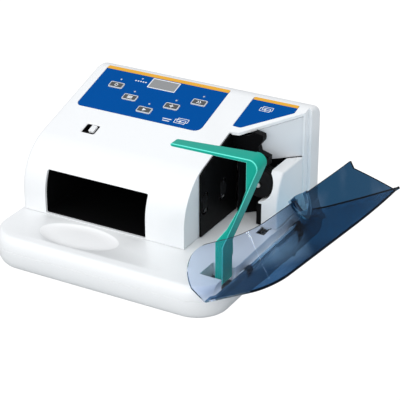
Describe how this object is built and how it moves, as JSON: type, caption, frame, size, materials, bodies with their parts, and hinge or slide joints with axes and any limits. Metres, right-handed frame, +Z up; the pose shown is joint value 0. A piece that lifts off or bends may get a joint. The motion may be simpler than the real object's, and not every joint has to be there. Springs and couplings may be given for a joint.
{
  "type": "banknote counting machine",
  "caption": "Desktop banknote counter with sloping key panel, front outlet pocket, side hopper with rollers, folding note presser and clear hinged cover.",
  "frame": {"origin": "bottom centre of the whole machine's box with the cover open, on the surface that the feet stand on", "axes": "+Z up, -Y towards the operator (outlet side), +X towards the hopper and its hinged cover"},
  "size_m": [0.3094, 0.2126, 0.1455],
  "materials": {
    "white_plastic": "smooth gloss",
    "grey_plastic": "satin",
    "black_plastic": "satin",
    "label_blue": "printed film",
    "key_grey": "satin",
    "display_lens": "gloss",
    "lamp_lens": "gloss",
    "lamp_glass": "clear",
    "clear_blue": "clear tinted",
    "presser_teal": "gloss",
    "steel": "brushed",
    "motor_can": "satin",
    "pulley_plastic": "satin",
    "brass": "satin",
    "circuit_board": "satin",
    "rubber": "matt"
  },
  "bodies": {
    "machine": {"back_plate": "steel", "base_deck": "white_plastic", "base_tray": "white_plastic", "control_board": "circuit_board", "control_label": "label_blue", "display_window": "display_lens", "drive_belt": "rubber", "feed_belt": "rubber", "feed_bush_back": "brass", "feed_chute": "black_plastic", "feed_plate": "black_plastic", "foot_back_left": "rubber", "foot_back_right": "rubber", "foot_front_left": "rubber", "foot_front_right": "rubber", "front_plate": "steel", "hinge_pin_back": "steel", "hinge_pin_front": "steel", "hopper_ledge": "white_plastic", "hopper_wall": "grey_plastic", "indicator_lights": "lamp_lens", "magnetic_head": "steel", "main_board": "circuit_board", "motor": "motor_can", "note_sensor": "black_plastic", "outlet_pocket": "black_plastic", "pickup_bush_back": "brass", "pickup_bush_front": "brass", "power_inlet": "black_plastic", "presser_pivot": "steel", "presser_spring": "steel", "separator_bracket": "black_plastic", "side_label": "label_blue", "stacker_belt": "rubber", "stacker_bush_back": "brass", "stacker_bush_front": "brass", "switch_bezel": "black_plastic", "upper_housing": "white_plastic", "uv_lamp": "lamp_glass"},
    "cover": {"clear_cover": "clear_blue"},
    "presser": {"presser_arm": "presser_teal"},
    "power_switch": {"switch_slider": "white_plastic"},
    "pickup_rotor": {"pickup_shaft": "steel", "pickup_wheel_front": "rubber", "pickup_wheel_back": "rubber", "pickup_pulley": "pulley_plastic"},
    "feed_rotor": {"feed_shaft": "steel", "feed_roller": "rubber", "feed_pulley": "pulley_plastic"},
    "stacker_rotor": {"stacker_shaft": "steel", "stacker_wheel_front": "black_plastic", "stacker_wheel_back": "black_plastic", "stacker_pulley": "pulley_plastic"},
    "motor_rotor": {"motor_pulley": "pulley_plastic"},
    "retard_rotor": {"retard_roller": "rubber"},
    "key_1_body": {"key_1": "key_grey"},
    "key_2_body": {"key_2": "key_grey"},
    "key_3_body": {"key_3": "key_grey"},
    "key_4_body": {"key_4": "key_grey"},
    "key_5_body": {"key_5": "key_grey"}
  },
  "joints": [
    {"name": "cover_hinge", "type": "hinge", "parent": "machine", "child": "cover", "pos_m": [0.06928, -0.04565, 0.028], "axis": [0, 1, 0], "range_deg": [-63, 0]},
    {"name": "presser_fold", "type": "hinge", "parent": "machine", "child": "presser", "pos_m": [0.06078, -0.04565, 0.03], "axis": [0, 1, 0], "range_deg": [-58, 0]},
    {"name": "key_1_press", "type": "slide", "parent": "machine", "child": "key_1_body", "axis": [0, 0.297, -0.9549], "range_m": [0, 0.0008], "stiffness_N_per_m": 1200, "springref_m": -0.0004},
    {"name": "key_2_press", "type": "slide", "parent": "machine", "child": "key_2_body", "axis": [0, 0.297, -0.9549], "range_m": [0, 0.0008], "stiffness_N_per_m": 1200, "springref_m": -0.0004},
    {"name": "key_3_press", "type": "slide", "parent": "machine", "child": "key_3_body", "axis": [0, 0.297, -0.9549], "range_m": [0, 0.0008], "stiffness_N_per_m": 1200, "springref_m": -0.0004},
    {"name": "key_4_press", "type": "slide", "parent": "machine", "child": "key_4_body", "axis": [0, 0.297, -0.9549], "range_m": [0, 0.0008], "stiffness_N_per_m": 1200, "springref_m": -0.0004},
    {"name": "key_5_press", "type": "slide", "parent": "machine", "child": "key_5_body", "axis": [0, 0.297, -0.9549], "range_m": [0, 0.0008], "stiffness_N_per_m": 1200, "springref_m": -0.0004},
    {"name": "power_slide", "type": "slide", "parent": "machine", "child": "power_switch", "axis": [-1, 0, 0], "range_m": [0, 0.0045]},
    {"name": "pickup_spin", "type": "hinge", "parent": "machine", "child": "pickup_rotor", "pos_m": [0.00478, -0.04565, 0.065], "axis": [0, 1, 0], "continuous": true},
    {"name": "feed_spin", "type": "hinge", "parent": "machine", "child": "feed_rotor", "pos_m": [0.04428, -0.04565, 0.072], "axis": [0, 1, 0], "continuous": true},
    {"name": "stacker_spin", "type": "hinge", "parent": "machine", "child": "stacker_rotor", "pos_m": [-0.01222, -0.04565, 0.047], "axis": [0, 1, 0], "continuous": true},
    {"name": "motor_spin", "type": "hinge", "parent": "machine", "child": "motor_rotor", "pos_m": [-0.00272, -0.04565, 0.095], "axis": [0, 1, 0], "continuous": true},
    {"name": "retard_spin", "type": "hinge", "parent": "machine", "child": "retard_rotor", "pos_m": [0.04428, -0.04565, 0.0912], "axis": [0, 1, 0], "continuous": true}
  ],
  "couplings": [
    {"joint": "presser_fold", "follows": "cover_hinge", "ratio": 0.9206},
    {"joint": "feed_spin", "follows": "pickup_spin", "ratio": 1.125},
    {"joint": "stacker_spin", "follows": "pickup_spin", "ratio": 1.8},
    {"joint": "motor_spin", "follows": "pickup_spin", "ratio": 1.8},
    {"joint": "retard_spin", "follows": "pickup_spin", "ratio": -2.659}
  ]
}
